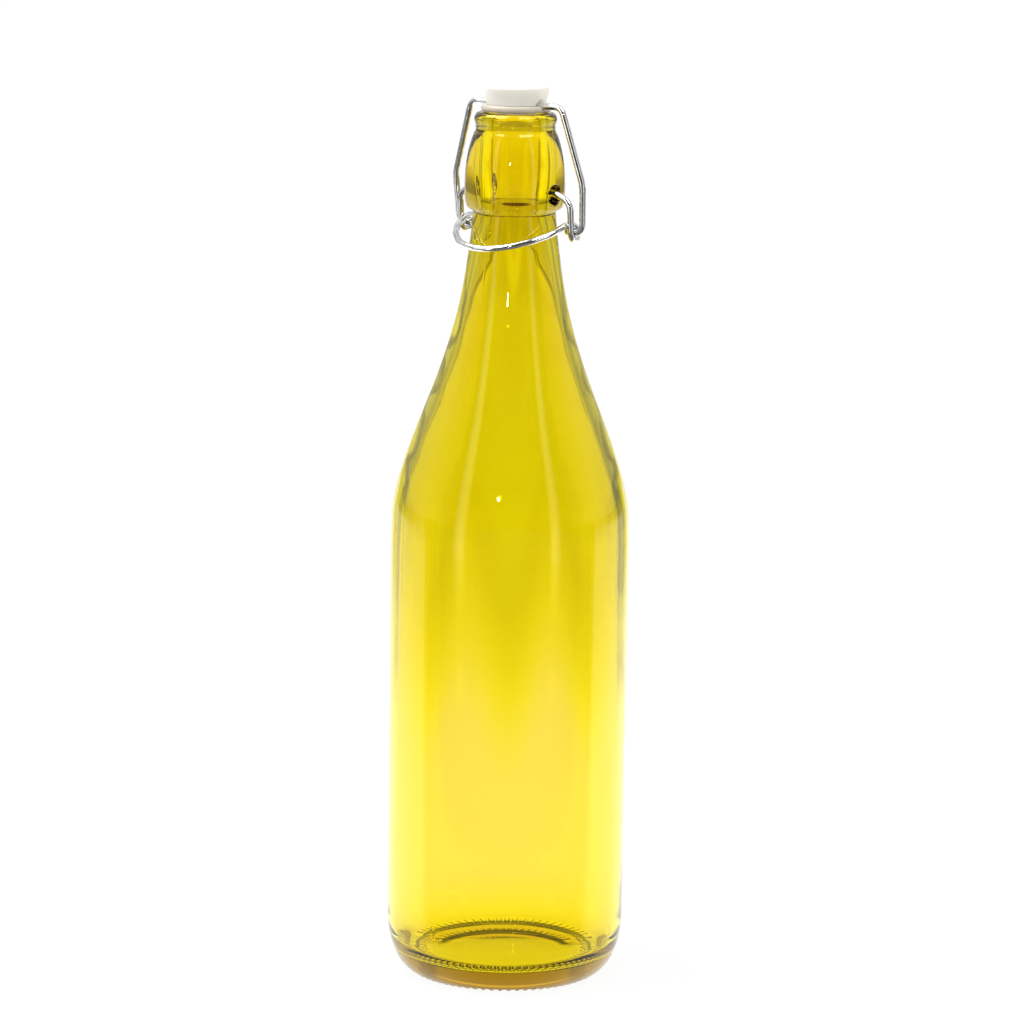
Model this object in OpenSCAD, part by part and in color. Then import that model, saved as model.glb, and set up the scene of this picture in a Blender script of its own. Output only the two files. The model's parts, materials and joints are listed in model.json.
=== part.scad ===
// Swing-top glass growler: a one litre bottle with a wire toggle closure.
// Origin at the centre of the base's bearing plane, +Z up the bottle.
// The closure swings about an axis along X, and its handle is at the front, towards -Y.
// Drawn closed: the lever is down and the stopper is on the mouth.

/* [Bottle] */
// Outside diameter of the body
body_d = 85; // [83:0.5:88]
// Wall thickness of the body
wall = 2.6; // [2.2:0.1:3.4]
// Diameter of the ring the bottle stands on
bearing_d = 63; // [60:0.5:66]
// Height of the push-up in the middle of the underside
punt_h = 4.2; // [2:0.2:5]
// Diameter of the mouth's bore
bore_d = 18.4; // [17.8:0.1:19]
// Diameter of the round recess that each lever pin sits in
recess_d = 7.8; // [7:0.1:8.2]

/* [Stopper] */
// Diameter of the stopper's top rim
cap_top_d = 23.5; // [22.5:0.1:24]
// Diameter of the stopper's lower edge
cap_low_d = 20.8; // [20:0.1:21.6]
// Height of the stopper's head above the gasket
cap_h = 7; // [6.4:0.1:7.6]
// Diameter of the plug that hangs in the bore
plug_d = 12.4; // [11.6:0.1:12.6]
// Length of the plug below the gasket
plug_len = 4; // [3.8:0.1:4.6]

/* [Gasket] */
// Outside diameter of the gasket
gasket_d = 24.5; // [24:0.1:25.2]
// Thickness of the gasket
gasket_t = 2.35; // [2.1:0.05:2.4]
// Gap left between the gasket and the lip
seat_gap = 0.35; // [0.33:0.01:0.45]

/* [Wires] */
// Diameter of the steel wire
wire_d = 2.3; // [2.2:0.05:2.35]
// Radial running clearance at the wire bearings
run = 0.07; // [0.05:0.01:0.09]
// Half width of the bail at its knees
knee_x = 27.9; // [27.6:0.1:28.6]
// Radius of the handle bow around the neck
bow_r = 20.2; // [19.9:0.1:20.5]

/* [Hidden] */
$fn = 96;

glass = [0.86, 0.76, 0.06, 0.6];
white = [0.95, 0.94, 0.91];
rubber = [0.86, 0.79, 0.70];
steel = [0.78, 0.79, 0.80];

body_r = body_d / 2;
inner_r = body_r - wall;
bearing_r = bearing_d / 2;
bore_r = bore_d / 2;
recess_r = recess_d / 2;
plug_r = plug_d / 2;
wire_r = wire_d / 2;
bearing_hole_r = wire_r + run;

lip_z = 309.65;                // top of the glass lip
pivot_z = 282.6;               // axis of the lever pins
eye_y = 3.5;                   // bail bearing behind the pin axis
eye_z = pivot_z - 13.7;        // bail bearing below the pin axis
gasket_z = lip_z + seat_gap;   // underside of the gasket
cap_z = gasket_z + gasket_t;   // underside of the stopper's head
bar_z = 312.5;                 // axis of the bail's crossbar

// Bottle
punt_edge_z = 1.3;             // rim of the push-up
heel_h = 20.6;                 // outside rounding above the bearing ring
floor_r = 33.2;                // inside floor, up to the heel's rounding
floor_z = 8.4;                 // edge of the inside floor
floor_rise = 1.1;              // middle of the floor above its edge
inner_heel_h = 6.6;            // inside rounding above the floor
lip_r = 12.6;                  // centre of the lip's outer rounding
lip_round = [2, 2.4];          // its half width and half height
mouth_round = 1.2;             // rounding where the lip meets the bore
recess_x = 14.2;               // bottom of each recess
recess_drop = 0.9;             // recess centre below the pin axis
socket_x = 12.6;               // blind end of each pin socket
floor_steps = 8;               // segments across the push-up and the floor

// Wires
pin_end_x = 13.3;              // cut end of the lever's pin
arm_x = 24.2;                  // lever arm
coil_r = 2.5;                  // centre line of the lever's coil
coil_step = 0.8;               // inward shift from one corner of the coil to the next
rail_y = 0.9;                  // where the rail starts to fall
rail_slope = 0.375;            // drop per unit towards the front
bow_start = 36;                // angle of the bow's first corner in front of the X axis
bow_steps = 5;                 // arcs in the bow
bail_end_x = 20.1;             // cut end of the bail
foot_x = 27.05;                // foot of the bail leg
bar_end_x = 19.7;              // corner between leg and crossbar
overlap = 0.15;                // how far a straight run reaches into a bend

// Outside of the shoulder and neck, up to under the collar: [height, radius]
shoulder = [
    [158, body_r], [168, body_r - 0.35], [178, body_r - 2.1], [188, body_r - 5.1],
    [200, body_r - 9.45], [210, 29.15], [220, 25.5], [230, 22.3], [240, 19.65],
    [250, 17.65], [260, 16.2], [267, 15.35], [273.4, 14.75]];

// Collar, from its underside to the notch below the lip: [height, radius]
collar = [
    [275.2, 14.95], [276, 15.8], [277.2, 16.95], [279.6, 17.55], [283, 17.78], [287, 17.65],
    [291.3, 17.32], [295.5, 16.65], [299.4, 15.65], [302, 14.75], [303.35, 14.05]];

// Bore inside the collar, downwards: [height, radius beyond the mouth's bore]
collar_bore = [
    [303, 0.05], [297, 0.3], [291, 0.4], [285, 0.2], [280, -0.4], [276.5, -0.7],
    [273.5, -0.3], [270, 0.6]];

// Inside of the neck and shoulder, down to the body: [height, radius]
neck_bore = [
    [266, 11], [258, 12.7], [250, 14.4], [240, 16.6], [230, 19.1], [220, 22.3], [210, 25.8],
    [200, body_r - 12.8], [188, inner_r - 5.3], [178, inner_r - 2.2], [168, inner_r - 0.4],
    [158, inner_r]];

// ---- Profile curves ----

// Slope of the span above station i
function slope(s, i) = (s[i + 1][1] - s[i][1]) / (s[i + 1][0] - s[i][0]);

// Slope of the curve at station i: a harmonic mean, so that the curve never overshoots
function tangent(s, i) =
    i == 0 ? slope(s, 0) :
    i == len(s) - 1 ? slope(s, i - 1) :
    let (before = slope(s, i - 1), after = slope(s, i))
    before * after <= 0 ? 0 : 2 * before * after / (before + after);

// Cubic Hermite radius at fraction t of span i
function span_radius(s, i, t) =
    let (h = s[i + 1][0] - s[i][0])
    (2 * t * t * t - 3 * t * t + 1) * s[i][1]
    + (t * t * t - 2 * t * t + t) * h * tangent(s, i)
    + (3 * t * t - 2 * t * t * t) * s[i + 1][1]
    + (t * t * t - t * t) * h * tangent(s, i + 1);

// Profile points [radius, height] through stations s of [height, radius]
function curve(s, steps) = concat(
    [for (i = [0:len(s) - 2], k = [0:steps - 1])
        [span_radius(s, i, k / steps), s[i][0] + (s[i + 1][0] - s[i][0]) * k / steps]],
    [[s[len(s) - 1][1], s[len(s) - 1][0]]]);

function ellipse_arc(centre, rx, ry, from, to, steps) =
    [for (k = [0:steps])
        let (t = from + (to - from) * k / steps)
        centre + [rx * cos(t), ry * sin(t)]];

// ---- Placing ----

// Turns +Z to +X and starts at x, z
module along_x(x, z) {
    translate([x, 0, z]) rotate([0, 90, 0]) children();
}

// Turns +Z to a unit direction and starts at a point
module aim(start, dir) {
    translate(start) rotate([0, acos(dir[2]), atan2(dir[1], dir[0])]) children();
}

module both_sides() {
    for (side = [0, 180]) rotate([0, 0, side]) children();
}

// Hole for the bail's crossbar, cut from the stopper and the gasket
module crossbar_hole() {
    along_x(-14, bar_z) cylinder(r = bearing_hole_r, h = 28);
}

// ---- Bottle ----

module glass_bottle() {
    outline = concat(
        // underside: push-up, then the flat ring it stands on
        [for (k = [0:floor_steps])
            let (q = k / floor_steps)
            [(bearing_r - 3.2) * q, punt_edge_z + (punt_h - punt_edge_z) * (1 - pow(q, 2))]],
        [[bearing_r - 2.2, 0.7], [bearing_r - 1.1, 0], [bearing_r + 1, 0]],
        // heel
        ellipse_arc([bearing_r + 1, heel_h], body_r - bearing_r - 1, heel_h, -84, 0, 14),
        curve(shoulder, 3),
        curve(collar, 2),
        // lip
        [[14.3, lip_z - 5]],
        ellipse_arc([lip_r, lip_z - lip_round[1]], lip_round[0], lip_round[1], -40, 90, 9),
        ellipse_arc([bore_r + mouth_round, lip_z - mouth_round],
            mouth_round, mouth_round, 90, 180, 4),
        [for (s = collar_bore) [bore_r + s[1], s[0]]],
        curve(neck_bore, 3),
        // inside of the heel and the floor
        ellipse_arc([floor_r, floor_z + inner_heel_h], inner_r - floor_r, inner_heel_h, 0, -90, 14),
        [for (k = [1:floor_steps])
            let (q = 1 - k / floor_steps)
            [floor_r * q, floor_z + floor_rise * (1 - pow(q, 2))]]);
    color(glass) difference() {
        rotate_extrude($fn = 180) polygon(outline);
        both_sides() {
            // bowl-shaped recess in the collar
            along_x(recess_x, pivot_z - recess_drop) rotate_extrude() polygon([
                [0, 0], [2.3, 0], [recess_r - 0.6, 1.3], [recess_r, 2.8],
                [recess_r + 0.6, 5], [0, 5]]);
            // socket for the lever's pin
            along_x(socket_x, pivot_z) cylinder(r = bearing_hole_r, h = 5);
        }
    }
}

// ---- Stopper and gasket ----

module stopper() {
    top_r = cap_top_d / 2;
    low_r = cap_low_d / 2;
    nose_z = gasket_z - plug_len;
    top_z = cap_z + cap_h;
    outline = concat(
        // plug: tapered nose, then the bead that keeps the gasket on
        [[0, nose_z], [plug_r - 2, nose_z], [plug_r - 0.9, nose_z + 0.5],
         [plug_r - 0.1, gasket_z - 2.2], [plug_r + 0.5, gasket_z - 1.2],
         [plug_r + 0.5, gasket_z - 0.5], [plug_r, gasket_z - 0.05], [plug_r, cap_z]],
        // head: cone that widens upward
        [[low_r - 0.3, cap_z], [low_r, cap_z + 0.3], [top_r - 0.16, top_z - 1]],
        // rounded rim, undercut on its inner side
        ellipse_arc([top_r - 1, top_z - 1], 1, 1, 10, 90, 6),
        ellipse_arc([top_r - 1.6, top_z - 0.7], 0.7, 0.7, 90, 30, 3),
        // shallow dish
        [for (k = [0:6])
            let (q = 1 - k / 6)
            [(top_r - 1.9) * q, top_z - 0.75 + 0.25 * q * q]]);
    color(white) difference() {
        rotate_extrude() polygon(outline);
        crossbar_hole();
        // arched pocket on each side, where the wire enters
        both_sides() along_x(7.6, bar_z + 0.9) cylinder(r = 2.3, h = 6);
    }
}

module gasket() {
    hole_r = plug_r + 0.05;
    rim_r = gasket_d / 2;
    color(rubber) difference() {
        rotate_extrude() polygon([
            [hole_r, gasket_z], [rim_r - 0.5, gasket_z], [rim_r - 0.1, gasket_z + 0.35],
            [rim_r, gasket_z + 0.75], [rim_r - 0.1, cap_z - 0.4], [rim_r - 0.55, cap_z],
            [hole_r, cap_z]]);
        crossbar_hole();
    }
}

// ---- Wire bent at corners, each [point, bend radius]; the two ends have radius 0 ----

function unit(v) = v / norm(v);
function turn(before, at, after) = acos(unit(at - before) * unit(after - at));

// Length that the bend at corner i takes off each straight run
function setback(c, i) =
    i == 0 || i == len(c) - 1 ? 0 :
    c[i][1] * tan(turn(c[i - 1][0], c[i][0], c[i + 1][0]) / 2);

// A hair thinner than the bends, and let into them, so that the wire is one solid
module straight(start, end, start_lap, end_lap) {
    dir = unit(end - start);
    aim(start - dir * start_lap, dir)
        cylinder(r = wire_r - 0.01, h = norm(end - start) + start_lap + end_lap);
}

module bend(before, at, after, radius) {
    dir = unit(at - before);
    angle = turn(before, at, after);
    normal = unit(cross(dir, unit(after - at)));
    inward = cross(normal, dir);           // towards the centre of the bend
    centre = at - dir * (radius * tan(angle / 2)) + inward * radius;
    multmatrix([
        for (i = [0:2]) [-inward[i], dir[i], normal[i], centre[i]],
        [0, 0, 0, 1]])
        rotate_extrude(angle = angle) translate([radius, 0]) circle(r = wire_r);
}

module bent_wire(c) {
    last = len(c) - 1;
    for (i = [0:last - 1]) {
        dir = unit(c[i + 1][0] - c[i][0]);
        straight(c[i][0] + dir * setback(c, i), c[i + 1][0] - dir * setback(c, i + 1),
            i == 0 ? 0 : overlap, i == last - 1 ? 0 : overlap);
    }
    for (i = [1:last - 1]) bend(c[i - 1][0], c[i][0], c[i + 1][0], c[i][1]);
}

// Wire symmetric about x = 0, from its +X half and any corners between the halves.
// Both cut ends point inward along X and have their edges taken off.
module symmetric_wire(half, middle = []) {
    mirrored = [for (i = [len(half) - 1:-1:0])
        let (p = half[i][0])
        [[-p[0], p[1], p[2]], half[i][1]]];
    end = half[0][0];
    bent_wire(concat(half, middle, mirrored));
    for (side = [1, -1])
        aim([side * (end[0] + 0.2), end[1], end[2]], [-side, 0, 0])
            cylinder(r1 = wire_r - 0.02, r2 = wire_r - 0.45, h = 0.55);
}

module wire_bail() {
    lean = eye_y / (bar_z - eye_z);
    // point on the leaning plane of the bail
    function at(x, z) = [x, (bar_z - z) * lean, z];
    color(steel) symmetric_wire([
        [[bail_end_x, eye_y, eye_z], 0],
        [at(foot_x, eye_z), 2.4],
        [at(knee_x, pivot_z + 3.1), 14],
        [at(bar_end_x, bar_z), 3.6]]);
}

module locking_lever() {
    front_y = eye_y - coil_r;
    back_y = eye_y + coil_r;
    low_z = eye_z - coil_r;
    high_z = eye_z + coil_r;
    // height of the plane of the rail and the bow, which falls towards the front
    function fall(y) = high_z - rail_slope * (rail_y - y);
    half = [
        // pin and arm
        [[pin_end_x, 0, pivot_z], 0],
        [[16.9, 0, pivot_z], 5],
        [[arm_x, 0, pivot_z - 2.8], 4.5],
        // coil round the bail's foot
        [[arm_x, front_y, low_z], 2.4],
        [[arm_x - coil_step, back_y, low_z], 2.4],
        [[arm_x - 2 * coil_step, back_y, high_z], 2.4],
        // rail
        [[arm_x - 3 * coil_step, rail_y, high_z], 3.5],
        [[bow_r + 0.5, -6, fall(-6)], 14]];
    // corners of the bow lie outside the circle, so that its arcs touch the circle
    bow_angle = (180 - 2 * bow_start) / bow_steps;
    corner_r = bow_r / cos(bow_angle / 2);
    bow = [for (k = [0:bow_steps])
        let (a = -bow_start - bow_angle * k, y = corner_r * sin(a))
        [[corner_r * cos(a), y, fall(y)], 13]];
    color(steel) symmetric_wire(half, bow);
}

glass_bottle();
stopper();
gasket();
wire_bail();
locking_lever();
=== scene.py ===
import json
import math

import bpy
import bmesh
import numpy as np
from mathutils import Matrix, Vector


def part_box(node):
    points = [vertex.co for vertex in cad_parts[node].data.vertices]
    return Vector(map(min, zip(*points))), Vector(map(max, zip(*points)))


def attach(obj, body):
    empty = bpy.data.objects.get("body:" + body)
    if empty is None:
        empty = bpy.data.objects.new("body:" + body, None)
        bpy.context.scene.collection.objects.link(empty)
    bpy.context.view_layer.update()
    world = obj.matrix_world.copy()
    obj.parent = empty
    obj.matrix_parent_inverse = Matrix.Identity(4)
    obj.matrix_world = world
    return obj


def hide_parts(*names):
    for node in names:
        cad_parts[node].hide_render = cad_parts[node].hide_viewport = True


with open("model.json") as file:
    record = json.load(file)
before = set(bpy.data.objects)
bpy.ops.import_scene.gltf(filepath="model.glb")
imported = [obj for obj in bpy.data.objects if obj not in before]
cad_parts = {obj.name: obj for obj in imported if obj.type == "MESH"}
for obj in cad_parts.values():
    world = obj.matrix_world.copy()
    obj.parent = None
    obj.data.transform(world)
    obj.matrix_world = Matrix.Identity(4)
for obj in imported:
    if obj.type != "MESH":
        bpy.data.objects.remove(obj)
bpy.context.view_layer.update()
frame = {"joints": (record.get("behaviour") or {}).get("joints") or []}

MM = 0.001


def box_mm(piece):
    """Low and high corners of a CAD piece, in mm."""
    return [[value / MM for value in corner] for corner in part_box(piece)]


# ------------------------------------------------------------------ shared sizes, in mm
joints = {j["name"]: [value / MM for value in j["pos_m"]] for j in frame["joints"]}
PIVOT_Z = joints["lever_pivot"][2]
EYE_Y, EYE_Z = joints["bail_pivot"][1:3]    # where the lever's eyes hold the bail
BAR_Z = joints["stopper_pivot"][2]          # the bail's cross bar, through the stopper

LIP_Z = box_mm("glass_bottle")[1][2]
CAP_R, _, CAP_TOP = box_mm("stopper")[1]
gasket_low, gasket_high = box_mm("gasket")
GASKET_Z0 = gasket_low[2]
GASKET_R, _, GASKET_Z1 = gasket_high
WIRE_R = 1.15

VIEW_TURN = 37.0    # degrees from -Y towards +X at which the camera stands
FRONT_AZIMUTH = math.radians(VIEW_TURN - 90)    # the same direction, from +X


# ------------------------------------------------------------------ mesh helpers
def smoothstep(a, b, x):
    t = np.clip((x - a) / (b - a), 0.0, 1.0)
    return t * t * (3 - 2 * t)


def hermite(stations, z):
    """Monotone cubic through (height, radius) stations."""
    heights, radii = np.array(stations, float).T
    step = np.diff(heights)
    slope = np.diff(radii) / step
    tangent = np.zeros(len(heights))
    tangent[0], tangent[-1] = slope[0], slope[-1]
    for i in range(1, len(heights) - 1):
        before, after = slope[i - 1], slope[i]
        tangent[i] = 0.0 if before * after <= 0 else 2 * before * after / (before + after)
    z = np.asarray(z, float)
    i = np.clip(np.searchsorted(heights, z, side="right") - 1, 0, len(heights) - 2)
    t = (z - heights[i]) / step[i]
    return ((2 * t**3 - 3 * t**2 + 1) * radii[i]
            + (t**3 - 2 * t**2 + t) * step[i] * tangent[i]
            + (3 * t**2 - 2 * t**3) * radii[i + 1]
            + (t**3 - t**2) * step[i] * tangent[i + 1])


def arc(centre_r, centre_z, size_r, size_z, start, end, count):
    """Points (radius, height) on an ellipse, between two angles in degrees."""
    t = np.radians(np.linspace(start, end, count))
    return np.c_[centre_r + size_r * np.cos(t), centre_z + size_z * np.sin(t)]


def new_object(name, verts, faces, uvs=None):
    """Smooth-shaded mesh object in the scene. Sizes in metres."""
    mesh = bpy.data.meshes.new(name)
    mesh.from_pydata([tuple(v) for v in verts], [], [tuple(int(i) for i in f) for f in faces])
    mesh.update()
    if uvs is not None:
        layer = mesh.uv_layers.new(name="UVMap")
        layer.data.foreach_set("uv", np.asarray(uvs, np.float32).ravel())
    mesh.polygons.foreach_set("use_smooth", [True] * len(mesh.polygons))
    ob = bpy.data.objects.new(name, mesh)
    bpy.context.scene.collection.objects.link(ob)
    return ob


def bake_modifiers(ob):
    bpy.context.view_layer.update()
    graph = bpy.context.evaluated_depsgraph_get()
    mesh = bpy.data.meshes.new_from_object(ob.evaluated_get(graph), depsgraph=graph)
    ob.modifiers.clear()
    ob.data = mesh
    mesh.polygons.foreach_set("use_smooth", [True] * len(mesh.polygons))


def revolve(profile, columns):
    """Grid of points, one row per (radius, height) of the profile, turned about Z."""
    theta = np.arange(columns) * 2 * np.pi / columns
    radius, height = profile[:, 0:1], profile[:, 1:2]
    return np.stack([radius * np.cos(theta), radius * np.sin(theta),
                     height * np.ones(columns)], -1)


def grid_quads(rows, columns, closed=False):
    """Quads of a grid that wraps round its columns, and round its rows if closed."""
    i, j = np.meshgrid(np.arange(rows if closed else rows - 1), np.arange(columns),
                       indexing="ij")
    i2, j2 = (i + 1) % rows, (j + 1) % columns
    corners = [i * columns + j, i * columns + j2, i2 * columns + j2, i2 * columns + j]
    return np.stack(corners, -1).reshape(-1, 4)


def lathe(profile, columns):
    """Closed body of revolution about Z from an open profile whose ends lie on the axis."""
    profile = np.asarray(profile, float)
    rows = len(profile) - 2
    poles = [[0, 0, profile[0, 1]], [0, 0, profile[-1, 1]]]
    verts = np.r_[revolve(profile[1:-1], columns).reshape(-1, 3), poles]
    first_pole, last_row = rows * columns, (rows - 1) * columns
    caps = []
    for j in range(columns):
        k = (j + 1) % columns
        caps.append((first_pole, k, j))
        caps.append((first_pole + 1, last_row + j, last_row + k))
    return verts, list(grid_quads(rows, columns)) + caps


# ------------------------------------------------------------------ glass bottle
BODY_R = 42.5
BODY_TOP = 158      # where the straight wall ends
STAND_R = 31.5      # the ring the bottle stands on
GLASS_COLUMNS = 576
TICKS = 72          # radial grooves across the standing ring

# outline stations: (height, radius)
SHOULDER = [
    [BODY_TOP, BODY_R], [168, BODY_R - 0.35], [178, BODY_R - 2.1], [188, BODY_R - 5.1],
    [200, BODY_R - 9.45], [210, 29.15], [220, 25.5], [230, 22.3], [240, 19.65], [250, 17.65],
    [260, 16.2], [267, 15.35], [273.4, 14.75]]
COLLAR = [
    SHOULDER[-1], [274.2, 14.7], [275.2, 14.9], [275.5, 15.2], [275.85, 16.1], [276.5, 16.85],
    [277.6, 17.3], [279.6, 17.6], [283, 17.78], [287, 17.65], [291.3, 17.32], [295.5, 16.65],
    [299.4, 15.65], [302, 14.75], [303.35, 14.05]]
BORE = [
    [15, 39.9], [22, 40.2], [40, 40.35], [90, 40.4], [125, 39.7], [158, 39.25], [168, 38.8],
    [178, 37.0], [188, 33.9], [200, 29.7], [210, 25.8], [220, 22.3], [230, 19.1], [240, 16.6],
    [250, 14.4], [258, 12.7], [266, 11.0], [270, 9.8], [273.5, 8.9], [276.5, 8.5], [280, 8.8],
    [285, 9.35], [291, 9.6], [297, 9.5], [303, 9.25], [308.5, 9.2]]


def glass_profile():
    """Profile from under the base, up the outside, over the lip and down the bore to the floor.

    Also gives the number of points under the base, outside, and before the bore.
    """
    dome_r = STAND_R - 3.2
    under = [(0, 4.2)]
    under += [(dome_r * k / 60, 1.3 + 2.9 * (1 - (k / 60) ** 2)) for k in range(1, 61)]
    under += [(STAND_R - 2.7, 0.95), (STAND_R - 2.2, 0.6), (STAND_R - 1.7, 0.25),
              (STAND_R - 1.2, 0.05)]
    under += [(r, 0.0) for r in np.linspace(STAND_R - 1.0, STAND_R + 0.8, 8)]
    heel = arc(STAND_R + 1, 20.6, BODY_R - STAND_R - 1, 20.6, -86, 0, 46)
    z = np.r_[np.linspace(24, 150, 44), np.linspace(153, 273.2, 110)]
    shoulder = hermite(SHOULDER, np.clip(z, BODY_TOP, SHOULDER[-1][0]))
    wall = np.c_[np.where(z < BODY_TOP, BODY_R, shoulder), z]
    z = np.r_[np.linspace(274.2, 277.4, 34), np.linspace(277.65, 289.5, 50),
              np.linspace(290, 303.25, 36)]
    collar = np.c_[hermite(COLLAR, z), z]
    lip = np.r_[[[14.0, LIP_Z - 6.05]], [[14.08, LIP_Z - 5.6]],
                arc(12.6, LIP_Z - 2.4, 2, 2.4, -38, 90, 26)]
    mouth = arc(10.4, LIP_Z - 1.2, 1.2, 1.2, 92, 180, 10)
    z = np.r_[np.linspace(LIP_Z - 1.7, 262, 70), np.linspace(260, 150, 80),
              np.linspace(147, 15.6, 50)]
    bore = np.c_[hermite(BORE, z), z]
    floor_r = 33.2
    corner = arc(floor_r, 15.0, 6.4, 6.6, 0, -90, 26)[1:]
    floor = [(floor_r * (1 - k / 26), 8.4 + 1.1 * (1 - (1 - k / 26) ** 2))
             for k in range(1, 26)] + [(0, 9.5)]
    outside = np.r_[np.array(under), heel, wall, collar, lip]
    profile = np.r_[outside, mouth, bore, corner, np.array(floor)]
    return profile, len(under), len(outside), len(outside) + len(mouth)


def mould_marks(theta, r, z, under, outer):
    """Grooves on the standing ring, and the parting lines left by the mould."""
    # short radial grooves across the standing ring and on up the heel
    tick = smoothstep(0.25, 0.75, 0.5 - 0.5 * np.cos(theta * TICKS))
    band = smoothstep(28.3, 29.6, r) * (1 - smoothstep(34.4, 36.4, r)) * (z < 4.0) * outer
    z = z + 0.75 * band * tick
    r = r - 0.18 * band * tick * smoothstep(33.0, 34.5, r)
    # parting line, a hair proud, up the +Y and -Y sides
    seam = sum(np.exp(-(((theta - side * np.radians(90)) / 0.0105) ** 2)) for side in (1, -1))
    r = r - 0.05 * outer * (z > 14) * (1 - seam)
    # ring where the base plate meets the body mould, strongest towards azimuth -103 degrees
    strength = 0.04 + 0.96 * smoothstep(0.45, 0.85, np.cos(theta + np.radians(103)))
    z = z - 0.16 * np.exp(-(((r - 23.8) / 0.26) ** 2)) * under * strength
    return r, z


def blown_bore(theta, r, z, inner):
    """Uneven inner wall left by blowing, with long soft tongues of thicker glass."""
    wave = (0.14 * np.cos(2 * theta + 0.7) + 0.08 * np.cos(5 * theta + 1.9)
            + 0.05 * np.cos(9 * theta - 0.6))
    turn = theta - FRONT_AZIMUTH
    edge = 104 + 14 * np.cos(3 * turn + 0.3) + 7 * np.cos(7 * turn)
    below_neck = 1 - smoothstep(150, 215, z)
    tongue = smoothstep(edge - 24, edge + 20, z) * below_neck
    fade = smoothstep(18, 45, z) * (1 - smoothstep(225, 258, z))
    r = r + inner * fade * (wave * (0.4 + 0.6 * smoothstep(30, 150, z))
                            - 0.22 * (tongue - 0.5 * smoothstep(60, 150, z) * below_neck))
    ripple = (0.012 * np.sin(z * 0.35 + 1.3 * np.sin(2 * theta)) * smoothstep(200, 225, z)
              * (1 - smoothstep(268, 276, z)))
    return r + inner * ripple


def lever_recess(x, y, z, outer, side):
    """Bowl in the collar on one side (+1 or -1 along X), with the socket of the lever's pin."""
    near = (outer & (x * side > 11) & (np.abs(y) < 7.5)
            & (z > PIVOT_Z - 9) & (z < PIVOT_Z + 8))
    bowl_reach = np.hypot(y, z - (PIVOT_Z - 0.9))
    bowl = 14.15 + 3.9 * smoothstep(1.9, 4.35, bowl_reach)
    socket = 12.7 + 6.0 * smoothstep(1.22, 1.5, np.hypot(y, z - PIVOT_Z))
    depth = np.minimum(bowl, np.where(bowl_reach < 3.2, socket, 99))
    # soft minimum with the collar's own surface
    own = x * side
    blend = 0.16
    share = np.clip(0.5 + 0.5 * (own - depth) / blend, 0, 1)
    cut = own * (1 - share) + depth * share - blend * share * (1 - share)
    return np.where(near, side * np.minimum(cut, own), x)


def build_glass():
    profile, under_count, outer_count, bore_start = glass_profile()
    verts, faces = lathe(profile, GLASS_COLUMNS)
    rows = len(profile) - 2
    grid = verts[:rows * GLASS_COLUMNS].reshape(rows, GLASS_COLUMNS, 3)
    row = (np.arange(rows) + 1)[:, None]
    under, outer, inner = row < under_count, row < outer_count, row >= bore_start
    theta = np.arctan2(grid[:, :, 1], grid[:, :, 0])
    r = np.hypot(grid[:, :, 0], grid[:, :, 1])

    r, z = mould_marks(theta, r, grid[:, :, 2], under, outer)
    r = blown_bore(theta, r, z, inner)
    # the cavity sits a little off centre in the heel, and the bore leans in the neck
    neck = smoothstep(200, 262, z) * 0.16
    low = (1 - smoothstep(14, 70, z)) * 0.35
    low_turn = math.radians(VIEW_TURN)
    x = r * np.cos(theta) + inner * (neck * 0.8 - low * math.cos(low_turn))
    y = r * np.sin(theta) - inner * (neck * 0.6 + low * math.sin(low_turn))
    for side in (1, -1):
        x = lever_recess(x, y, z, outer, side)

    verts[:rows * GLASS_COLUMNS] = np.stack([x, y, z], -1).reshape(-1, 3)
    verts[:, 2] = np.clip(verts[:, 2], 0.0, LIP_Z)
    return new_object("glass_bottle_visual", verts * MM, faces)


# ------------------------------------------------------------------ bent wires
FILLET_STEP = 0.28      # spacing of points round a bend
STRAIGHT_STEP = 1.2     # longest spacing elsewhere
WIRE_SIDES = 36
UV_PER_METRE = 10
# rounded cut ends: (distance from the end, share of the wire's radius)
WIRE_END = [(0.0, 0.62), (0.10, 0.82), (0.26, 0.95), (0.42, 1.0)]

BAR_KNEE_X, BAIL_EYE_X, BAIL_END_X = 27.9, 27.05, 20.0
BAR_END_X = 19.7        # corner between the bail's side and its cross bar
ARM_X = 24.3            # the lever's arms
COIL_R = 2.5            # half width of the lever's eyes
EYE_BEND = 2.4
BOW_R = 20.2            # the lever's bow round the neck
BOW_START_Y = 0.9
BOW_FALL = 0.375        # drop of the bow per mm towards -Y
BOW_SEGMENTS = 5
BOW_START = 36          # degrees from the X axis at which the bow begins


def mirrored_wire(half, middle=()):
    """Path of a wire symmetrical in X. Stations are (x, y, z, bend radius)."""
    return filleted(half + list(middle) + [(-x, y, z, bend) for x, y, z, bend in half[::-1]])


def filleted(stations):
    """Turns corners into arcs of the bend radius, then divides long steps."""
    points = [np.array(s[:3], float) for s in stations]
    path = [points[0]]
    for i in range(1, len(points) - 1):
        before, corner, after = points[i - 1:i + 2]
        bend = stations[i][3]
        u = (corner - before) / np.linalg.norm(corner - before)
        v = (after - corner) / np.linalg.norm(after - corner)
        angle = math.acos(max(-1, min(1, float(u @ v))))
        setback = bend * math.tan(angle / 2)
        inward = np.cross(np.cross(u, v), u)
        inward /= np.linalg.norm(inward)
        centre = corner - u * setback + inward * bend
        count = max(6, int(angle * bend / FILLET_STEP))
        for k in range(count + 1):
            q = angle * k / count
            path.append(centre + bend * (-inward * math.cos(q) + u * math.sin(q)))
    path.append(points[-1])
    divided = [path[0]]
    for a, b in zip(path[:-1], path[1:]):
        count = max(1, int(np.linalg.norm(b - a) / STRAIGHT_STEP))
        for k in range(1, count + 1):
            divided.append(a + (b - a) * k / count)
    return np.array(divided)


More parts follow.
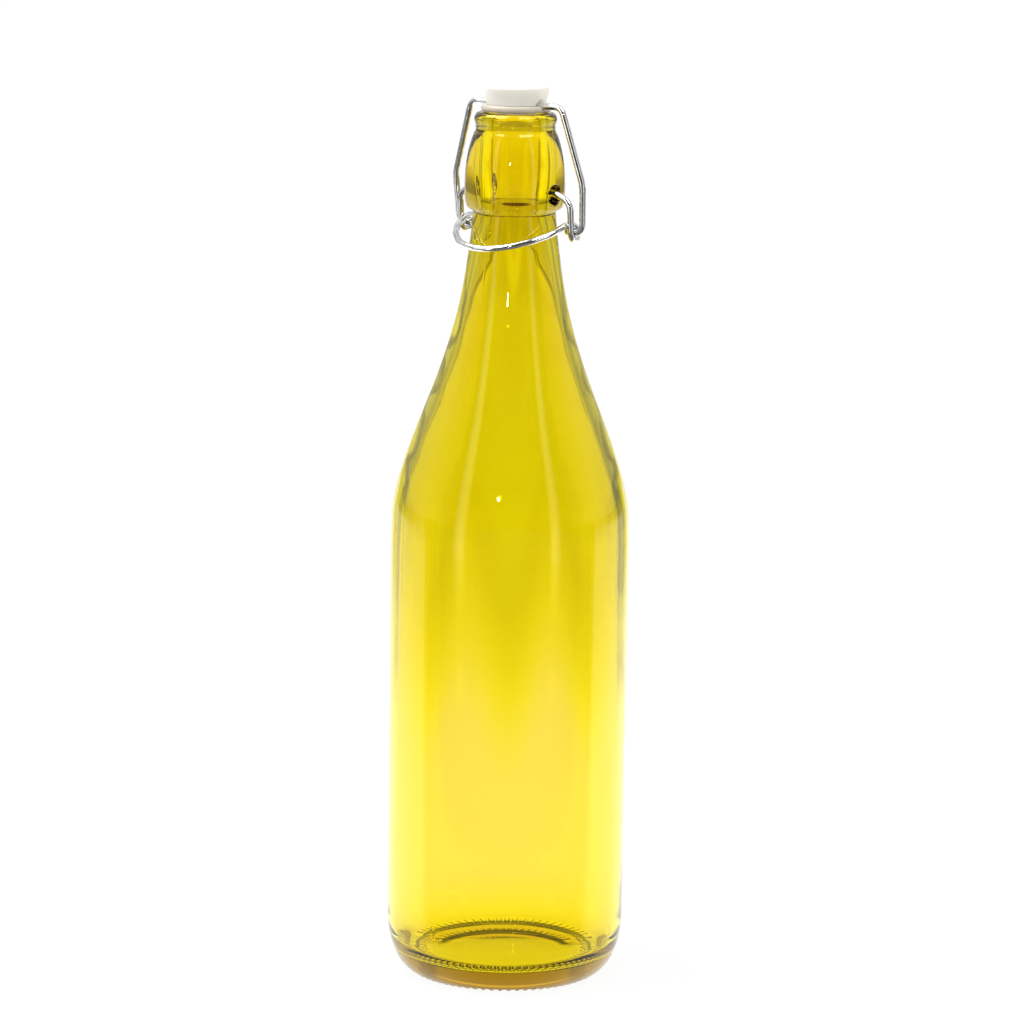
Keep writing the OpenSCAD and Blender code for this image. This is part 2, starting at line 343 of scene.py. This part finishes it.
def sweep(name, path):
    """Round wire along a path; the edges of its cut ends are taken off."""
    tangent = np.gradient(path, axis=0)
    tangent /= np.linalg.norm(tangent, axis=1)[:, None]
    normal = np.empty_like(path)
    level = abs(tangent[0][2]) < 0.9
    normal[0] = np.cross(tangent[0], np.array([0.0, 0.0, 1.0] if level else [0.0, 1.0, 0.0]))
    normal[0] /= np.linalg.norm(normal[0])
    for i in range(1, len(path)):
        v = normal[i - 1] - tangent[i] * (normal[i - 1] @ tangent[i])
        normal[i] = v / np.linalg.norm(v)
    binormal = np.cross(tangent, normal)
    length = np.r_[0, np.cumsum(np.linalg.norm(np.diff(path, axis=0), axis=1))]
    # the wire is drawn a little thinner in each bend
    turning = np.linalg.norm(np.gradient(tangent, axis=0), axis=1)
    curvature = turning / np.maximum(np.gradient(length), 1e-6)
    radius = np.full(len(path), WIRE_R) * (1 - 0.02 * np.clip(curvature * 3, 0, 1))

    angle = np.arange(WIRE_SIDES) * 2 * np.pi / WIRE_SIDES
    cosine, sine = np.cos(angle)[:, None], np.sin(angle)[:, None]
    rings, along = [], []

    def add_ring(i, shift, ring_radius):
        centre = path[i] + tangent[i] * shift
        rings.append(centre + ring_radius * (cosine * normal[i] + sine * binormal[i]))
        along.append(length[i] + shift)

    for shift, share in WIRE_END:
        add_ring(0, shift, WIRE_R * share)
    for i in range(1, len(path) - 1):
        add_ring(i, 0.0, radius[i])
    for shift, share in WIRE_END[::-1]:
        add_ring(-1, -shift, WIRE_R * share)

    count, sides = len(rings), WIRE_SIDES
    verts = np.r_[np.array(rings).reshape(-1, 3), [path[0]], [path[-1]]]
    faces = list(grid_quads(count, sides))
    uvs = []
    for i in range(count - 1):
        u0, u1 = along[i] * MM * UV_PER_METRE, along[i + 1] * MM * UV_PER_METRE
        for j in range(sides):
            v0, v1 = j / sides, (j + 1) / sides
            uvs += [(u0, v0), (u0, v1), (u1, v1), (u1, v0)]
    start, last_ring = count * sides, (count - 1) * sides
    for j in range(sides):
        k = (j + 1) % sides
        faces += [(start, k, j), (start + 1, last_ring + j, last_ring + k)]
        uvs += [(0, 0.5), (0, 1.0), (0, 0)] * 2
    return new_object(name, verts * MM, faces, uvs)


def bail_path():
    """From one inturned end up the side, across the stopper's bar and down again."""
    lean = EYE_Y / (BAR_Z - EYE_Z)

    def side_point(x, z, bend):
        return x, (BAR_Z - z) * lean, z, bend

    return mirrored_wire([
        (BAIL_END_X, EYE_Y, EYE_Z, 0),
        side_point(BAIL_EYE_X, EYE_Z, 2.4),
        side_point(BAR_KNEE_X, PIVOT_Z + 3.1, 14),
        side_point(BAR_END_X, BAR_Z, 3.6)])


def lever_path():
    """From one pin in the collar, round the bail's end and along the bow to the other side."""
    def bow_z(y):
        return EYE_Z + COIL_R - BOW_FALL * (BOW_START_Y - y)

    half = [
        (13.0, 0, PIVOT_Z, 0),
        (16.9, 0, PIVOT_Z, 5),
        (ARM_X - 0.1, 0, PIVOT_Z - 2.8, 4.5),
        (ARM_X - 0.1, EYE_Y - COIL_R, EYE_Z - COIL_R, EYE_BEND),
        (ARM_X - 0.9, EYE_Y + COIL_R, EYE_Z - COIL_R, EYE_BEND),
        (ARM_X - 1.7, EYE_Y + COIL_R, EYE_Z + COIL_R, EYE_BEND),
        (ARM_X - 2.5, BOW_START_Y, EYE_Z + COIL_R, 3.5),
        (BOW_R + 0.5, -6, bow_z(-6), 14)]
    span = 180 - 2 * BOW_START
    corner_r = BOW_R / math.cos(math.radians(span / BOW_SEGMENTS / 2))
    bow = []
    for k in range(BOW_SEGMENTS + 1):
        angle = math.radians(-BOW_START - span * k / BOW_SEGMENTS)
        y = corner_r * math.sin(angle)
        bow.append((corner_r * math.cos(angle), y, bow_z(y), 13))
    return mirrored_wire(half, bow)


# ------------------------------------------------------------------ stopper and gasket
PLUG_R = 6.2        # the part inside the bottle's mouth
CAP_FOOT_R = 10.4   # the cap's foot, on the gasket


def cylinder_cutter(radius, x0, x1, z, sides=64):
    """Cylinder along X."""
    angle = np.arange(sides) * 2 * np.pi / sides
    ends = [np.c_[np.full(sides, x), radius * np.cos(angle), z + radius * np.sin(angle)]
            for x in (x0, x1)]
    faces = [tuple(range(sides)), tuple(range(2 * sides - 1, sides - 1, -1))]
    faces += [(j, sides + j, sides + (j + 1) % sides, (j + 1) % sides) for j in range(sides)]
    return new_object("cutter", np.concatenate(ends) * MM, faces)


def fix_normals(ob):
    bm = bmesh.new()
    bm.from_mesh(ob.data)
    bmesh.ops.recalc_face_normals(bm, faces=bm.faces)
    bm.to_mesh(ob.data)
    bm.free()


def moulded(ob, cutters, voxel, relax_steps):
    """Cuts with booleans, then remeshes and relaxes for the soft edges of a moulding."""
    fix_normals(ob)
    for cutter in cutters:
        fix_normals(cutter)
        cut = ob.modifiers.new("cut", "BOOLEAN")
        cut.operation, cut.object, cut.solver = "DIFFERENCE", cutter, "EXACT"
    bake_modifiers(ob)
    for cutter in cutters:
        bpy.data.objects.remove(cutter)
    remesh = ob.modifiers.new("remesh", "REMESH")
    remesh.mode, remesh.voxel_size, remesh.adaptivity = "VOXEL", voxel * MM, 0.0
    bake_modifiers(ob)
    relax = ob.modifiers.new("relax", "SMOOTH")
    relax.factor, relax.iterations = 0.5, relax_steps
    bake_modifiers(ob)
    return ob


def build_stopper():
    plug, foot, rim = PLUG_R, CAP_FOOT_R, CAP_R
    low, seat, top = GASKET_Z0, GASKET_Z1, CAP_TOP
    # plug with a bead round it, gasket groove, and the cap's foot
    profile = [
        (0, low - 4.0), (plug - 2.1, low - 4.0), (plug - 1.5, low - 3.9),
        (plug - 0.9, low - 3.55), (plug - 0.3, low - 2.7), (plug - 0.1, low - 2.2),
        (plug + 0.35, low - 1.45), (plug + 0.5, low - 1.0), (plug + 0.45, low - 0.5),
        (plug, low - 0.1), (plug, seat),
        (foot - 0.35, seat), (foot - 0.08, seat + 0.12), (foot + 0.03, seat + 0.4)]
    # flared side, rounded rim, dished top
    profile += [(foot + 0.03 + (rim - 0.12 - foot) * k / 12,
                 seat + 0.4 + (top - 1.25 - seat - 0.4) * k / 12) for k in range(1, 13)]
    profile += [tuple(q) for q in arc(rim - 1.15, top - 1.1, 1.15, 1.1, 5, 92, 12)]
    profile += [tuple(q) for q in arc(rim - 1.9, top - 0.85, 0.8, 0.8, 82, 82, 1)]
    profile += [(rim - 2.1, top - 0.12), (rim - 2.7, top - 0.38), (rim - 3.3, top - 0.52)]
    profile += [((rim - 3.3) * (1 - k / 14), top - 0.52 - 0.22 * (1 - (1 - k / 14) ** 2))
                for k in range(1, 14)]
    # small round mark left by the moulding gate, in the middle of the dish
    profile += [(0.55, top - 0.74), (0.42, top - 0.62), (0, top - 0.6)]
    verts, faces = lathe(profile, 160)
    ob = new_object("stopper_visual", verts * MM, faces)
    # hole for the bail's bar, wider at both mouths
    cutters = [cylinder_cutter(WIRE_R + 0.10, -14, 14, BAR_Z)]
    for side in (1, -1):
        cutters.append(cylinder_cutter(1.75, side * 8.6, side * 13.6, BAR_Z + 0.5))
    return moulded(ob, cutters, voxel=0.17, relax_steps=5)


def build_gasket():
    r, low, high = GASKET_R, GASKET_Z0, GASKET_Z1
    profile = [(6.3, low), (7.0, low), (9.0, low + 0.02), (10.6, low)]
    profile += [tuple(q) for q in arc(r - 0.8, (low + high) / 2, 0.8, (high - low) / 2,
                                      -90, 90, 16)]
    profile += [(9.5, high), (7.0, high), (6.3, high)]
    columns = 200
    verts = revolve(np.array(profile), columns).reshape(-1, 3)
    quads = grid_quads(len(profile), columns, closed=True)
    ob = new_object("gasket_visual", verts * MM, quads)
    cutter = cylinder_cutter(WIRE_R + 0.12, -14, 14, BAR_Z)
    return moulded(ob, [cutter], voxel=0.13, relax_steps=4)


# ------------------------------------------------------------------ shader helper
class Shader:
    """Fills the node tree of a material or world. Inputs take values or sockets to link."""

    def __init__(self, owner):
        owner.use_nodes = True
        self.tree = owner.node_tree
        self.tree.nodes.clear()

    def add(self, kind, inputs=None, **settings):
        node = self.tree.nodes.new("ShaderNode" + kind)
        for key, value in settings.items():
            setattr(node, key, value)
        for key, value in (inputs or {}).items():
            if isinstance(value, bpy.types.NodeSocket):
                self.tree.links.new(value, node.inputs[key])
            else:
                node.inputs[key].default_value = value
        return node

    def get(self, kind, output, inputs=None, **settings):
        """Adds a node and gives one of its outputs."""
        return self.add(kind, inputs, **settings).outputs[output]

    def math(self, operation, *values):
        return self.get("Math", 0, dict(enumerate(values)), operation=operation)

    def times(self, a, b):
        return self.math("MULTIPLY", a, b)

    def plus(self, a, b):
        return self.math("ADD", a, b)

    def dot(self, a, b):
        return self.get("VectorMath", "Value", {0: a, 1: b}, operation="DOT_PRODUCT")

    def mix(self, factor, a, b):
        return self.get("Mix", 0, {0: factor, 2: a, 3: b}, data_type="FLOAT")

    def noise(self, vector, scale, detail, roughness=0.5):
        return self.get("TexNoise", "Fac", {"Vector": vector, "Scale": scale, "Detail": detail,
                                            "Roughness": roughness})

    def map_range(self, value, low, high, to=(0.0, 1.0), **settings):
        return self.get("MapRange", "Result", {
            "Value": value, "From Min": low, "From Max": high,
            "To Min": to[0], "To Max": to[1]}, **settings)

    def ramp(self, value, stops, interpolation="LINEAR"):
        """Colour ramp with (position, colour) stops; a single number is a grey."""
        node = self.add("ValToRGB", {"Fac": value})
        elements = node.color_ramp.elements
        while len(elements) < len(stops):
            elements.new(0.5)
        for element, (position, colour) in zip(elements, stops):
            element.position = position
            rgb = colour if isinstance(colour, tuple) else (colour,) * 3
            element.color = (*rgb, 1)
        node.color_ramp.interpolation = interpolation
        return node.outputs["Color"]

    def curve(self, value, low, high, stops):
        """Smooth function of one value through (value, result) stops."""
        top = max(max(result for _, result in stops), 1.0)
        scaled = [((x - low) / (high - low), result / top) for x, result in stops]
        return self.times(self.ramp(self.map_range(value, low, high), scaled, "EASE"), top)

    def azimuth_curve(self, azimuth, stops):
        """The same round a full turn, with stops in degrees."""
        return self.curve(azimuth, -math.pi, math.pi, [(math.radians(a), v) for a, v in stops])

    def bump(self, height, strength, distance, inputs=None):
        return self.get("Bump", "Normal", {"Height": height, "Strength": strength,
                                           "Distance": distance, **(inputs or {})})

    def finish(self, surface, volume=None):
        """Principled surface from its inputs, with an optional volume, to the output."""
        outputs = {"Surface": self.get("BsdfPrincipled", "BSDF", surface)}
        if volume:
            outputs["Volume"] = volume
        self.add("OutputMaterial", outputs)


# ------------------------------------------------------------------ materials
TINT_HEIGHT = 0.32      # metres up the bottle covered by the ramps below
# (share of the height, colour): the glass's own yellow, partly painted light and shade: paler
# and darker bands by height, and a slab at the base painted darker
GLASS_TINT_AND_PAINTED_SHADE = [
    (0.0, (0.925, 0.84, 0.14)), (0.035, (0.93, 0.85, 0.18)), (0.075, (0.96, 0.85, 0.47)),
    (0.28, (0.96, 0.85, 0.47)), (0.35, (0.945, 0.855, 0.25)), (0.42, (0.90, 0.81, 0.09)),
    (0.48, (0.865, 0.775, 0.04)), (0.54, (0.89, 0.81, 0.06)), (0.66, (0.905, 0.82, 0.10)),
    (0.80, (0.90, 0.785, 0.09)), (0.83, (0.99, 0.885, 0.10)), (0.857, (1.0, 0.895, 0.10)),
    (0.875, (0.93, 0.82, 0.10)), (1.0, (0.955, 0.84, 0.12))]
TINT_WAVES = 8.0        # waves of the tint's edges round the bottle
# (share of the height, amount): bands at the heel and the shoulder where bottles rub
SCUFF_BANDS = [(0.0, 0), (0.045, 0.6), (0.075, 0), (0.47, 0), (0.50, 1), (0.53, 0)]
# absorption per metre is density * (1 - colour)
GLASS_DENSITY = 300.0
GLASS_ABSORPTION = (7.0, 14.0, 300.0)


def glass_material():
    material = bpy.data.materials.new("yellow_glass_clear")
    s = Shader(material)
    position = s.get("TexCoord", "Object")
    axes = s.add("SeparateXYZ", {0: position}).outputs
    height = s.map_range(axes["Z"], 0.0, TINT_HEIGHT)

    # tint drifting up the bottle, partly painted light and shade in bands by height, its edges
    # waving round the upper part
    azimuth = s.math("ARCTAN2", axes["Y"], axes["X"])
    wave = s.math("COSINE", s.math("MULTIPLY_ADD", azimuth, TINT_WAVES,
                                   -TINT_WAVES * FRONT_AZIMUTH))
    uneven = s.times(wave, s.noise(position, scale=22.0, detail=2.0, roughness=0.4))
    upper = s.map_range(height, 0.14, 0.30, interpolation_type="SMOOTHSTEP")
    waved = s.math("MULTIPLY_ADD", s.times(uneven, upper), 0.10, height)
    cloud = s.noise(position, scale=14.0, detail=3.0)
    colour = s.get("Mix", "Result", {
        "Factor": 1.0,
        "A": s.ramp(waved, GLASS_TINT_AND_PAINTED_SHADE),
        "B": s.ramp(cloud, [(0.3, (0.985, 0.985, 0.97)), (0.7, 1)]),
    }, data_type="RGBA", blend_type="MULTIPLY")

    # polished, with fine scuffs in the rubbed bands
    fine = s.noise(position, scale=900.0, detail=4.0, roughness=0.65)
    scuffs = s.times(s.ramp(height, SCUFF_BANDS), s.ramp(fine, [(0.60, 0), (0.74, 1)]))
    roughness = s.math("MULTIPLY_ADD", scuffs, 0.10, 0.004)

    # the gentle orange peel of a blow mould
    peel = s.noise(position, scale=60.0, detail=2.0, roughness=0.4)
    absorb = tuple(1 - a / GLASS_DENSITY for a in GLASS_ABSORPTION) + (1.0,)
    s.finish({
        "Base Color": colour,
        "Roughness": roughness,
        "Normal": s.bump(peel, strength=0.12, distance=0.0004),
        "IOR": 1.52,
        "Specular Tint": (1.0, 0.95, 0.5, 1.0),
        "Transmission Weight": 1.0,
    }, s.get("VolumeAbsorption", "Volume", {"Density": GLASS_DENSITY, "Color": absorb}))
    return material


def stopper_material():
    material = bpy.data.materials.new("white_moulded_plastic")
    s = Shader(material)
    position = s.get("TexCoord", "Object")
    cloud = s.noise(position, scale=160.0, detail=3.0, roughness=0.55)
    fine = s.noise(position, scale=1500.0, detail=2.0)
    # painted light: a faint glow that stands in for light scattered through the plastic,
    # stronger on the plug below the gasket, where it sits in shade inside the mouth
    seat = GASKET_Z0 * MM
    glow = s.map_range(s.get("SeparateXYZ", "Z", {0: position}), seat - 0.0002, seat + 0.0012,
                       to=(0.24, 0.11))
    s.finish({
        "Base Color": s.ramp(cloud, [(0.3, (0.91, 0.885, 0.82)), (0.7, (0.95, 0.935, 0.89))]),
        "Roughness": s.ramp(cloud, [(0.3, 0.30), (0.7, 0.42)]),
        "Normal": s.bump(fine, strength=0.10, distance=0.00008),
        "Subsurface Weight": 0.9,
        "Subsurface Radius": (1.0, 0.9, 0.75),
        "Subsurface Scale": 0.003,
        "IOR": 1.49,
        "Specular IOR Level": 0.2,
        # painted light: the glow above, as emission
        "Emission Strength": glow,
        "Emission Color": (1.0, 0.90, 0.74, 1.0)})
    return material


def gasket_material():
    material = bpy.data.materials.new("translucent_silicone")
    s = Shader(material)
    position = s.get("TexCoord", "Object")
    cloud = s.noise(position, scale=220.0, detail=4.0, roughness=0.6)
    fine = s.noise(position, scale=2200.0, detail=2.0)
    s.finish({
        "Base Color": s.ramp(cloud, [(0.3, (0.62, 0.565, 0.475)), (0.7, (0.72, 0.665, 0.58))]),
        "Roughness": s.ramp(fine, [(0.3, 0.34), (0.7, 0.5)]),
        "Normal": s.bump(fine, strength=0.15, distance=0.00006),
        "Subsurface Weight": 0.8,
        "Subsurface Radius": (1.0, 0.75, 0.5),
        "Subsurface Scale": 0.0025,
        "IOR": 1.42})
    return material


def wire_material():
    material = bpy.data.materials.new("bright_plated_wire")
    s = Shader(material)
    coords = s.add("TexCoord").outputs
    # drawing marks run along the wire: u is its length, v goes round it
    stretched = s.get("Mapping", "Vector", {"Vector": coords["UV"], "Scale": (9.0, 46.0, 1.0)})
    marks = s.noise(stretched, scale=1.0, detail=5.0, roughness=0.6)
    spots = s.noise(coords["Object"], scale=420.0, detail=4.0, roughness=0.6)
    tarnish = [(0.30, (0.60, 0.605, 0.60)), (0.52, (0.80, 0.80, 0.795)), (0.75, 0.90)]
    mark_bump = s.bump(marks, strength=0.08, distance=0.00004)
    s.finish({
        "Metallic": 1.0,
        "Base Color": s.ramp(spots, tarnish),
        "Roughness": s.math("MULTIPLY_ADD", marks, 0.13,
                            s.ramp(spots, [(0.35, 0.01), (0.75, 0.09)])),
        "Normal": s.bump(spots, strength=0.07, distance=0.00006,
                         inputs={"Normal": mark_bump})})
    return material


# ------------------------------------------------------------------ build
glass = build_glass()
glass.data.materials.append(glass_material())
stopper = build_stopper()
stopper.data.materials.append(stopper_material())
gasket = build_gasket()
gasket.data.materials.append(gasket_material())
plated = wire_material()
bail = sweep("wire_bail_visual", bail_path())
bail.data.materials.append(plated)
lever = sweep("locking_lever_visual", lever_path())
lever.data.materials.append(plated)

for ob, body, cad, slot in (
        (glass, "bottle", "glass_bottle", "yellow_glass"),
        (stopper, "cap", "stopper", "white_plastic"),
        (gasket, "cap", "gasket", "silicone"),
        (bail, "bail", "wire_bail", "bright_wire"),
        (lever, "lever", "locking_lever", "bright_wire")):
    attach(ob, body)
    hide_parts(cad)

# ------------------------------------------------------------------ studio, in metres
# Brightness round the bottle: (degrees, strength). Azimuth 0 is towards the camera, positive to
# its right. The flags are dark strips behind that draw the edges of the glass.
FLAGS = [(-180, 1.0), (-153, 1.0), (-150, 0.48), (-143, 0.48), (-140, 1.0),
         (138, 1.0), (141, 0.32), (149, 0.32), (152, 1.0), (180, 1.0)]
SOFTBOXES = [(-56, 0.0), (-51, 1.7), (-46, 1.7), (-41, 0.0),
             (37, 0.0), (42, 1.5), (46, 1.5), (51, 0.0)]
ROOM = [(-180, 0.90), (-100, 0.90), (-84, 0.55), (-70, 0.28), (-56, 0.08),
        (54, 0.08), (70, 0.28), (84, 0.55), (98, 0.90), (180, 0.90)]
HIGH_LAMPS = [(-140, 0.0), (-135, 9.0), (-42, 9.0), (-38, 0.0),
              (12, 0.0), (16, 9.0), (60, 9.0), (65, 0.0)]
# (sine of the elevation, share)
SOFTBOX_RISE = [(-0.32, 0.0), (0.05, 1.0), (0.55, 1.0), (0.70, 0.0)]
LAMP_RISE = [(0.66, 0.0), (0.69, 1.0), (0.97, 1.0), (0.99, 0.0)]
OVERHEAD = [(0.55, 0.0), (0.8, 0.35), (1.0, 0.5)]

FLOOR_RINGS = [0.05, 0.15, 0.35, 1.2, 4.0, 14.0]
FLOOR_SIDES = 96
FLOOR_SEEN = 0.94       # even brightness the camera sees
# glow of the floor for all other rays: (distance, strength) towards the camera and sideways
FLOOR_ALONG = [(-3.0, 0.88), (-1.2, 0.98), (-0.75, 1.08), (-0.42, 1.22), (-0.15, 1.28),
               (0.0, 1.28), (0.034, 1.2), (0.044, 0.3), (0.056, 0.10), (0.3, 0.08)]
FLOOR_ACROSS = [(0.0, 1.0), (0.9, 1.0), (1.5, 0.4), (1.9, 0.3)]
# (distance squared, share)
FLAG_FADE = [(0.25, 1.0), (0.9, 0.0)]
SOFTBOX_FADE = [(0.38, 0.0), (0.9, 1.0)]
# painted contact shadow: the floor's glow is dimmed under the bottle and made dark in a thin
# ring where the standing ring touches the floor
PAINTED_CONTACT_SHADOW = [(0.0, 0.85), (0.00092, 0.9), (0.00097, 0.05), (0.00102, 0.05), (0.00107, 1.0)]


def camera_axes(s):
    """Level directions towards the camera and to its right; the backdrop follows the camera."""
    look = s.get("VectorTransform", 0, {0: (0.0, 0.0, 1.0)}, vector_type="VECTOR",
                 convert_from="CAMERA", convert_to="WORLD")
    level = s.get("VectorMath", 0, {0: look, 1: (-1.0, -1.0, 0.0)}, operation="MULTIPLY")
    front = s.get("VectorMath", 0, {0: level}, operation="NORMALIZE")
    right = s.get("VectorMath", 0, {0: (0.0, 0.0, 1.0), 1: front}, operation="CROSS_PRODUCT")
    return front, right


def floor_material():
    material = bpy.data.materials.new("floor_pale")
    s = Shader(material)
    position = s.get("NewGeometry", "Position")
    front, right = camera_axes(s)
    forward = s.dot(position, front)
    sideways = s.math("ABSOLUTE", s.dot(position, right), 0.0)
    azimuth = s.math("ARCTAN2", s.dot(position, right), forward)
    squared = s.plus(s.times(forward, forward), s.times(sideways, sideways))
    glow = s.times(s.curve(forward, -3.0, 2.0, FLOOR_ALONG),
                   s.curve(sideways, 0.0, 2.0, FLOOR_ACROSS))
    flags = s.math("MAXIMUM", s.azimuth_curve(azimuth, FLAGS),
                   s.curve(squared, 0.0, 2.0, FLAG_FADE))
    # the painted contact shadow under the bottle dims the glow
    glow = s.times(s.times(glow, flags), s.curve(squared, 0.0, 0.004, PAINTED_CONTACT_SHADOW))
    softboxes = s.times(s.azimuth_curve(azimuth, SOFTBOXES),
                        s.curve(squared, 0.0, 2.0, SOFTBOX_FADE))
    strength = s.mix(s.get("LightPath", "Is Camera Ray"), s.plus(glow, softboxes), FLOOR_SEEN)
    diffuse = s.get("BsdfDiffuse", 0, {"Color": (0.07, 0.07, 0.07, 1)})
    emission = s.get("Emission", 0, {"Strength": strength})
    s.add("OutputMaterial", {"Surface": s.get("AddShader", 0, {0: diffuse, 1: emission})})
    return material


def build_floor():
    """One wide disc, a hair below z = 0."""
    angle = np.arange(FLOOR_SIDES) * 2 * np.pi / FLOOR_SIDES
    verts = [(0, 0, 0)]
    faces = []
    for i, r in enumerate(FLOOR_RINGS):
        verts += [(r * math.cos(q), r * math.sin(q), 0) for q in angle]
        outer = 1 + i * FLOOR_SIDES
        inner = outer - FLOOR_SIDES
        for j in range(FLOOR_SIDES):
            k = (j + 1) % FLOOR_SIDES
            if i == 0:
                faces.append((0, 1 + j, 1 + k))
            else:
                faces.append((inner + j, outer + j, outer + k, inner + k))
    floor = new_object("floor", verts, faces)
    floor.location.z = -0.00005
    floor.data.materials.append(floor_material())


def area(name, azimuth, elevation, distance, size, power, target_z=0.17):
    """Area light aimed at the bottle's axis; angles in degrees, azimuth as in the tables."""
    light = bpy.data.lights.new(name, "AREA")
    light.shape = "RECTANGLE"
    light.size, light.size_y = size
    light.energy = power
    ob = bpy.data.objects.new(name, light)
    bpy.context.scene.collection.objects.link(ob)
    turn = math.radians(VIEW_TURN) + math.radians(azimuth)
    rise = math.radians(elevation)
    away = Vector((math.sin(turn) * math.cos(rise), -math.cos(turn) * math.cos(rise),
                   math.sin(rise))).normalized()
    ob.location = Vector((0, 0, target_z)) + away * distance
    ob.rotation_euler = (-away).to_track_quat("-Z", "Y").to_euler()
    return ob


def build_lights():
    for name, azimuth, elevation, power in (("fill_left", -50, 25, 2.6),
                                            ("fill_right", 40, 20, 2.5)):
        fill = area(name, azimuth, elevation, distance=1.5, size=(0.6, 0.9), power=power)
        fill.visible_glossy = False
        fill.visible_transmission = False
    area("glint", -12.0, 13, distance=1.35, size=(0.065, 0.075), power=0.75, target_z=0.27)
    # two tall panels that only the wires reflect, so that the glass keeps a dark front
    wires = bpy.data.collections.new("wires")
    for ob in (bail, lever):
        wires.objects.link(ob)
    for name, azimuth, width, power in (("panel_left", -58, 0.9, 3.4),
                                        ("panel_right", 40, 0.35, 1.2)):
        panel = area(name, azimuth, 14, distance=1.2, size=(width, 1.3), power=power,
                     target_z=0.28)
        panel.light_linking.receiver_collection = wires


def build_world():
    """Dark in front but for softboxes, bright behind; the camera sees plain white."""
    world = bpy.data.worlds.new("studio")
    bpy.context.scene.world = world
    s = Shader(world)
    direction = s.get("TexCoord", "Generated")
    front, right = camera_axes(s)
    azimuth = s.math("ARCTAN2", s.dot(direction, right), s.dot(direction, front))
    rise = s.dot(direction, s.get("CombineXYZ", 0, {2: 1.0}))
    ray = s.add("LightPath").outputs

    flags = s.plus(s.times(s.azimuth_curve(azimuth, FLAGS), 0.55), 0.45)
    room = s.times(flags, s.azimuth_curve(azimuth, ROOM))
    softboxes = s.times(s.azimuth_curve(azimuth, SOFTBOXES),
                        s.curve(rise, -1.0, 1.0, SOFTBOX_RISE))
    # strong lamps higher up, which catch the rounded lip and the tops of the wires; they are
    # weak for diffuse rays and hidden from rays through the glass
    lamps = s.times(s.azimuth_curve(azimuth, HIGH_LAMPS), s.curve(rise, -1.0, 1.0, LAMP_RISE))
    lamps = s.times(lamps, s.mix(ray["Is Diffuse Ray"], 1.0, 0.05))
    lamps = s.times(lamps, s.plus(s.times(ray["Is Transmission Ray"], -1.0), 1.0))
    overhead = s.curve(rise, -1.0, 1.0, OVERHEAD)
    total = s.plus(s.plus(room, softboxes), s.plus(overhead, lamps))
    # diffuse rays get 22% less
    total = s.times(total, s.plus(s.times(ray["Is Diffuse Ray"], -0.22), 1.0))
    strength = s.mix(ray["Is Camera Ray"], total, 1.25)
    s.add("OutputWorld", {"Surface": s.get("Background", 0, {"Strength": strength})})


# ------------------------------------------------------------------ camera
CAMERA_DISTANCE = 1.500     # level, from the bottle's axis
CAMERA_HEIGHT = 0.45205
CAMERA_PITCH = 0.1876       # radians, downwards
CAMERA_ROLL = 0.0142        # radians
SENSOR_WIDTH = 36.0         # mm
LENS = 150.79359375         # mm
SHIFT_X, SHIFT_Y = 0.00173828125, -0.000322265625


def build_camera():
    data = bpy.data.cameras.new("camera")
    data.sensor_width = SENSOR_WIDTH
    data.lens = LENS
    data.shift_x, data.shift_y = SHIFT_X, SHIFT_Y
    data.clip_start, data.clip_end = 0.05, 60
    camera = bpy.data.objects.new("camera", data)
    bpy.context.scene.collection.objects.link(camera)
    turn = math.radians(VIEW_TURN)
    look = Vector((-math.sin(turn) * math.cos(CAMERA_PITCH),
                   math.cos(turn) * math.cos(CAMERA_PITCH), -math.sin(CAMERA_PITCH)))
    level = Vector((math.cos(turn), math.sin(turn), 0))
    upright = level.cross(look)
    right = level * math.cos(CAMERA_ROLL) + upright * math.sin(CAMERA_ROLL)
    up = upright * math.cos(CAMERA_ROLL) - level * math.sin(CAMERA_ROLL)
    matrix = Matrix((right, up, -look)).transposed().to_4x4()
    matrix.translation = Vector((CAMERA_DISTANCE * math.sin(turn),
                                 -CAMERA_DISTANCE * math.cos(turn), CAMERA_HEIGHT))
    camera.matrix_world = matrix
    bpy.context.scene.camera = camera


build_floor()
build_lights()
build_world()
build_camera()
bpy.context.scene.view_settings.view_transform = "Standard"
bpy.context.scene.view_settings.look = "None"
